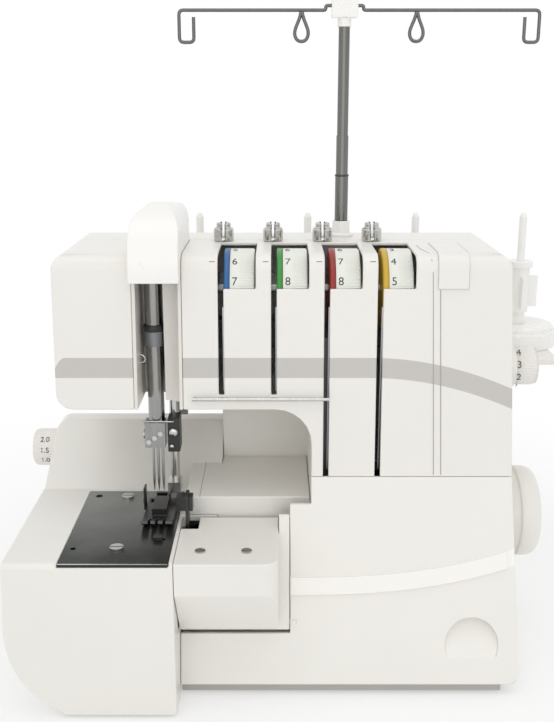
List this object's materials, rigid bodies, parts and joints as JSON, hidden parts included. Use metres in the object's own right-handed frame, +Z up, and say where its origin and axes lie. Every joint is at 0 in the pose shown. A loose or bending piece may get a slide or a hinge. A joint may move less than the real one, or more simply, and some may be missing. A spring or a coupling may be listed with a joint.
{
  "type": "serger overlock machine",
  "caption": "Household overlock sewing machine with a needle arm over a wide bed, tension dials, a looper door with cloth plate extension, a spool stand and a telescopic thread tree.",
  "frame": {"origin": "on the table, under the middle of the whole machine", "axes": "+Z up, the operator sits on the -Y side, +X to the operator's right"},
  "size_m": [0.422, 0.272, 0.454],
  "materials": {
    "white_shell": "satin gloss, slightly warm white",
    "bright_white": "gloss",
    "grey_plastic": "matte",
    "black_plastic": "matte",
    "rubber": "matte",
    "cast_metal": "rough cast",
    "steel": "brushed",
    "chrome": "polished",
    "dark_steel": "polished dark",
    "bronze": "sintered",
    "dial_blue": "gloss",
    "dial_green": "gloss",
    "dial_red": "gloss",
    "dial_yellow": "gloss",
    "ivory": "satin"
  },
  "bodies": {
    "machine": {"base_plate": "grey_plastic", "rubber_feet": "rubber", "frame_casting": "cast_metal", "lower_front_cover": "white_shell", "tension_cover": "white_shell", "face_cover": "white_shell", "rear_cover": "white_shell", "needle_channel": "grey_plastic", "take_up_cover": "bright_white", "bed_cover": "white_shell", "deck_cover": "white_shell", "casing_screws": "steel", "needle_plate": "dark_steel", "needle_plate_screws": "steel", "lower_knife": "steel", "guide_rod": "chrome", "thread_guides": "chrome", "thread_cutter": "grey_plastic", "tension_axle": "steel", "motor": "black_plastic", "motor_bracket": "steel", "shaft_bearings": "bronze", "drive_belt": "rubber", "power_inlet": "black_plastic", "hinge_pin": "steel", "spool_stand": "white_shell", "spool_pins": "ivory", "spool_discs": "bright_white", "cone_holders": "ivory", "tree_socket": "bright_white", "tree_lower_tube": "chrome"},
    "drive_shaft": {"main_shaft": "steel", "handwheel": "white_shell"},
    "motor_rotor": {"motor_pulley": "steel"},
    "needle_bar": {"needle_bar": "chrome", "needles": "steel", "needle_screws": "black_plastic"},
    "presser": {"presser_bar": "steel", "presser_foot": "dark_steel"},
    "presser_lever": {"presser_lever": "steel"},
    "upper_knife": {"upper_knife": "dark_steel"},
    "upper_looper": {"upper_looper": "steel"},
    "lower_looper": {"lower_looper": "steel"},
    "feed_dogs": {"feed_dogs": "steel"},
    "tension_dial_1": {"tension_dial_1": "dial_blue"},
    "tension_dial_2": {"tension_dial_2": "dial_green"},
    "tension_dial_3": {"tension_dial_3": "dial_red"},
    "tension_dial_4": {"tension_dial_4": "dial_yellow"},
    "stitch_length_dial": {"stitch_length_dial": "white_shell"},
    "differential_feed_dial": {"differential_feed_dial": "white_shell"},
    "power_switch": {"power_switch": "black_plastic"},
    "looper_door": {"looper_cover": "white_shell", "cloth_plate_extension": "white_shell", "extension_screws": "steel"},
    "stitch_finger": {"stitch_finger_slide": "black_plastic"},
    "middle_tube": {"tree_middle_tube": "chrome"},
    "upper_tube": {"tree_upper_tube": "chrome"},
    "tree_top": {"tree_holder": "bright_white", "thread_guide_wire": "chrome"}
  },
  "joints": [
    {"name": "handwheel_turn", "type": "hinge", "parent": "machine", "child": "drive_shaft", "pos_m": [-0.0205, -0.016, 0.093], "axis": [1, 0, 0], "continuous": true},
    {"name": "motor_turn", "type": "hinge", "parent": "machine", "child": "motor_rotor", "pos_m": [-0.0205, 0.02, 0.046], "axis": [1, 0, 0], "continuous": true},
    {"name": "needle_bar_stroke", "type": "slide", "parent": "machine", "child": "needle_bar", "axis": [0, 0, -1], "range_m": [0, 0.026]},
    {"name": "presser_lever_turn", "type": "hinge", "parent": "machine", "child": "presser_lever", "pos_m": [-0.0205, -0.024, 0.188], "axis": [1, 0, 0], "range_deg": [0, 20]},
    {"name": "presser_lift", "type": "slide", "parent": "machine", "child": "presser", "axis": [0, 0, 1], "range_m": [0, 0.006]},
    {"name": "upper_knife_stroke", "type": "slide", "parent": "machine", "child": "upper_knife", "axis": [0, 0, 1], "range_m": [-0.004, 0.004]},
    {"name": "upper_looper_swing", "type": "hinge", "parent": "machine", "child": "upper_looper", "pos_m": [-0.0425, -0.136, 0.074], "axis": [0, 1, 0], "range_deg": [0, 8]},
    {"name": "lower_looper_swing", "type": "hinge", "parent": "machine", "child": "lower_looper", "pos_m": [-0.0665, -0.136, 0.066], "axis": [0, 1, 0], "range_deg": [-4, 6]},
    {"name": "feed_dog_stroke", "type": "slide", "parent": "machine", "child": "feed_dogs", "axis": [0, 1, 0], "range_m": [-0.002, 0.002]},
    {"name": "tension_dial_1_turn", "type": "hinge", "parent": "machine", "child": "tension_dial_1", "pos_m": [-0.0205, -0.0372, 0.265], "axis": [1, 0, 0], "range_deg": [-150, 150]},
    {"name": "tension_dial_2_turn", "type": "hinge", "parent": "machine", "child": "tension_dial_2", "pos_m": [-0.0205, -0.0372, 0.265], "axis": [1, 0, 0], "range_deg": [-150, 150]},
    {"name": "tension_dial_3_turn", "type": "hinge", "parent": "machine", "child": "tension_dial_3", "pos_m": [-0.0205, -0.0372, 0.265], "axis": [1, 0, 0], "range_deg": [-150, 150]},
    {"name": "tension_dial_4_turn", "type": "hinge", "parent": "machine", "child": "tension_dial_4", "pos_m": [-0.0205, -0.0372, 0.265], "axis": [1, 0, 0], "range_deg": [-150, 150]},
    {"name": "stitch_length_turn", "type": "hinge", "parent": "machine", "child": "stitch_length_dial", "pos_m": [-0.0205, -0.041, 0.212], "axis": [1, 0, 0], "range_deg": [-90, 150]},
    {"name": "differential_feed_turn", "type": "hinge", "parent": "machine", "child": "differential_feed_dial", "pos_m": [-0.0205, 0.04, 0.122], "axis": [1, 0, 0], "range_deg": [-60, 60]},
    {"name": "power_switch_rock", "type": "hinge", "parent": "machine", "child": "power_switch", "pos_m": [-0.0205, 0.0445, 0.095], "axis": [1, 0, 0], "range_deg": [-6, 6]},
    {"name": "looper_door_open", "type": "hinge", "parent": "machine", "child": "looper_door", "pos_m": [-0.0205, -0.09646, 0.047], "axis": [1, 0, 0], "range_deg": [0, 55]},
    {"name": "stitch_finger_shift", "type": "slide", "parent": "machine", "child": "stitch_finger", "axis": [1, 0, 0], "range_m": [-0.0015, 0.002]},
    {"name": "middle_tube_down", "type": "slide", "parent": "machine", "child": "middle_tube", "axis": [0, 0, -1], "range_m": [0, 0.028]},
    {"name": "upper_tube_down", "type": "slide", "parent": "middle_tube", "child": "upper_tube", "axis": [0, 0, -1], "range_m": [0, 0.056]},
    {"name": "thread_tree_swivel", "type": "hinge", "parent": "upper_tube", "child": "tree_top", "pos_m": [0.026, 0.024, 0.447], "axis": [0, 0, 1], "range_deg": [-90, 90]}
  ],
  "couplings": [
    {"joint": "motor_turn", "follows": "handwheel_turn", "ratio": 2.6667},
    {"joint": "presser_lift", "follows": "presser_lever_turn", "m_per_rad": 0.017}
  ]
}
